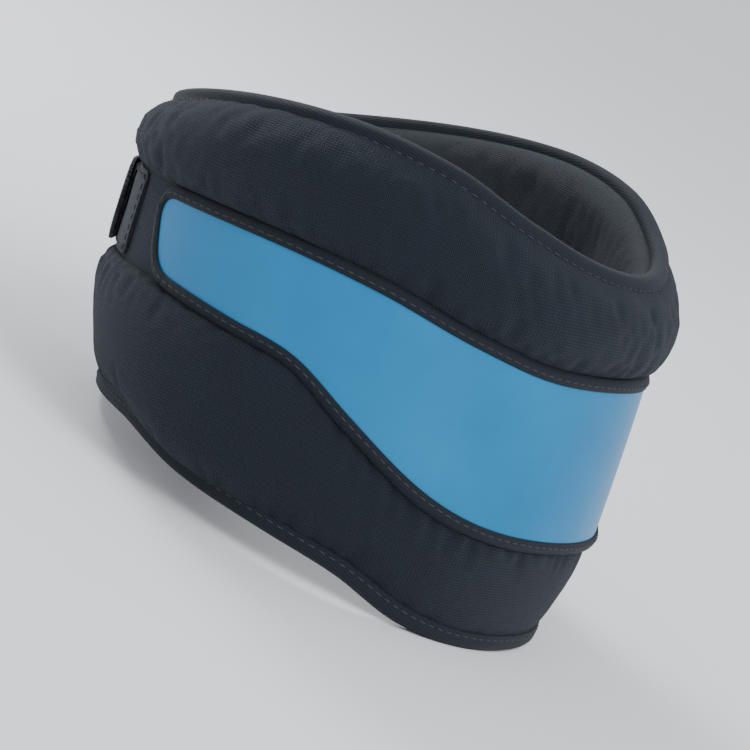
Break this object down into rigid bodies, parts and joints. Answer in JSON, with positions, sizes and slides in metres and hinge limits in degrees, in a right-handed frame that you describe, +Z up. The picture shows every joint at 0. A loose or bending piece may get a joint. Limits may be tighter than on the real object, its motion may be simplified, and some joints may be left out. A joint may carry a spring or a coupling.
{
  "type": "cervical collar",
  "caption": "Contoured foam neck collar with a stiff front splint, bound rims, bending rear wings and a hook-and-loop strap at the back.",
  "frame": {"origin": "centre of the object's box on the surface that the collar stands on, as it stands closed on its lower rim", "axes": "+Z up; the chin is to -Y and the nape to +Y; +X is the wearer's left"},
  "size_m": [0.168, 0.1871, 0.123],
  "materials": {
    "foam": "matte",
    "cover_fabric": "matte",
    "lining_fabric": "matte",
    "binding_tape": "matte",
    "splint_sheet": "satin",
    "thread": "satin",
    "webbing": "matte",
    "hook_tape": "matte",
    "loop_tape": "matte",
    "label_satin": "satin"
  },
  "bodies": {
    "front": {"foam_core_front": "foam", "outer_cover_front": "cover_fabric", "lining_front": "lining_fabric", "top_binding_front": "binding_tape", "bottom_binding_front": "binding_tape", "splint": "splint_sheet", "splint_binding": "binding_tape", "splint_seam": "thread"},
    "left_wing": {"foam_core_left": "foam", "outer_cover_left": "cover_fabric", "lining_left": "lining_fabric", "top_binding_left": "binding_tape", "bottom_binding_left": "binding_tape", "end_binding_left": "binding_tape", "strap_anchor": "webbing", "strap_anchor_seam": "thread", "care_label": "label_satin"},
    "right_wing": {"foam_core_right": "foam", "outer_cover_right": "cover_fabric", "lining_right": "lining_fabric", "top_binding_right": "binding_tape", "bottom_binding_right": "binding_tape", "end_binding_right": "binding_tape", "loop_patch": "loop_tape", "loop_seam": "thread"},
    "strap": {"strap_web": "webbing", "hook_patch": "hook_tape", "hook_seam": "thread"}
  },
  "joints": [
    {"name": "left_wing_flex", "type": "hinge", "parent": "front", "child": "left_wing", "pos_m": [0.0634, 0.05902, 0.055], "axis": [0, -0.2106, -0.9776], "range_deg": [0, 65], "stiffness_Nm_per_rad": 0.2},
    {"name": "right_wing_flex", "type": "hinge", "parent": "front", "child": "right_wing", "pos_m": [-0.0634, 0.05902, 0.055], "axis": [0, 0.2106, 0.9776], "range_deg": [0, 65], "stiffness_Nm_per_rad": 0.2},
    {"name": "strap_peel", "type": "hinge", "parent": "left_wing", "child": "strap", "pos_m": [0.01243, 0.08631, 0.05321], "axis": [0, -0.2106, -0.9776], "range_deg": [0, 150]}
  ],
  "couplings": [
    {"joint": "right_wing_flex", "follows": "left_wing_flex", "ratio": 1}
  ]
}
